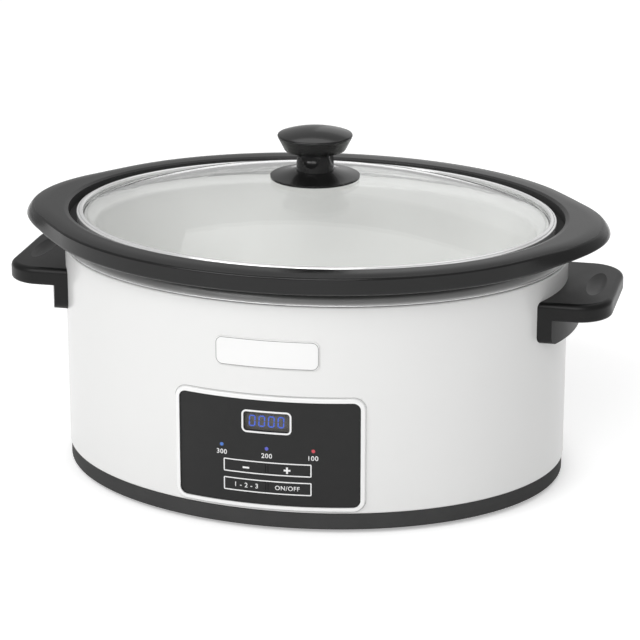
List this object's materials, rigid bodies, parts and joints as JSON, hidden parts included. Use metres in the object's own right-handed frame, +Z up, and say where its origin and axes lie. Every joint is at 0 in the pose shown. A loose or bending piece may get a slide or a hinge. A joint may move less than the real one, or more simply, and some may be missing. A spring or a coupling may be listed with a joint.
{
  "type": "slow cooker",
  "caption": "Oval countertop slow cooker with a white shell, black lift-out crock, domed glass lid with knob, end handles and a curved digital control panel with push keys.",
  "frame": {"origin": "centre of the oval on the plane that the feet stand on", "axes": "+Z up, +X along the long side through the handles, -Y towards the control panel"},
  "size_m": [0.43, 0.3186, 0.2454],
  "materials": {
    "white_paint": "smooth white enamel",
    "black_plastic": "satin black",
    "black_gloss": "gloss black",
    "white_plastic": "white",
    "steel": "polished stainless steel",
    "well_metal": "satin plated steel",
    "aluminium": "plain sheet",
    "black_glaze": "gloss black glaze outside, light grey glaze inside",
    "clear_glass": "clear toughened glass",
    "rubber": "dull black",
    "circuit_board": "green board",
    "dark_window": "smoked clear",
    "blue_lamp": "translucent blue",
    "red_lamp": "translucent red",
    "insulation": "woven glass and mica",
    "component": "moulded component",
    "silicone": "translucent silicone"
  },
  "bodies": {
    "housing": {"outer_shell": "white_paint", "base_pan": "black_plastic", "left_handle": "black_plastic", "right_handle": "black_plastic", "control_box": "black_plastic", "cord_gland": "black_plastic", "panel_fascia": "black_gloss", "panel_bezel": "white_plastic", "badge_plate": "white_plastic", "indicator_leds": "white_plastic", "base_screws": "steel", "well_studs": "steel", "handle_screws": "steel", "panel_screws": "steel", "control_screws": "steel", "power_screws": "steel", "heater_strap": "steel", "sensor_bracket": "steel", "fuse_clip": "steel", "heating_well": "well_metal", "heat_shield": "aluminium", "temperature_sensor": "aluminium", "rubber_feet": "rubber", "control_board": "circuit_board", "power_board": "circuit_board", "display_window": "dark_window", "high_lamp": "blue_lamp", "low_lamp": "blue_lamp", "warm_lamp": "red_lamp", "heater_band": "insulation", "display_module": "component", "tact_switches": "component", "power_relay": "component", "power_transformer": "component", "thermal_fuse": "component"},
    "crock": {"crock": "black_glaze"},
    "lid": {"lid_glass": "clear_glass", "lid_ring": "steel", "knob_base": "black_gloss", "knob": "black_gloss", "knob_screw": "steel", "knob_washer": "silicone"},
    "minus_key": {"minus_key": "black_gloss", "minus_plunger": "component"},
    "plus_key": {"plus_key": "black_gloss", "plus_plunger": "component"},
    "select_key": {"select_key": "black_gloss", "select_plunger": "component"},
    "power_key": {"power_key": "black_gloss", "power_plunger": "component"}
  },
  "joints": [
    {"name": "crock_lift", "type": "slide", "parent": "housing", "child": "crock", "axis": [0, 0, 1], "range_m": [0, 0.16]},
    {"name": "lid_lift", "type": "slide", "parent": "crock", "child": "lid", "axis": [0, 0, 1], "range_m": [0, 0.1]},
    {"name": "minus_press", "type": "slide", "parent": "housing", "child": "minus_key", "axis": [0, 1, 0], "range_m": [0, 0.0008], "stiffness_N_per_m": 1500},
    {"name": "plus_press", "type": "slide", "parent": "housing", "child": "plus_key", "axis": [0, 1, 0], "range_m": [0, 0.0008], "stiffness_N_per_m": 1500},
    {"name": "select_press", "type": "slide", "parent": "housing", "child": "select_key", "axis": [0, 1, 0], "range_m": [0, 0.0008], "stiffness_N_per_m": 1500},
    {"name": "power_press", "type": "slide", "parent": "housing", "child": "power_key", "axis": [0, 1, 0], "range_m": [0, 0.0008], "stiffness_N_per_m": 1500}
  ]
}
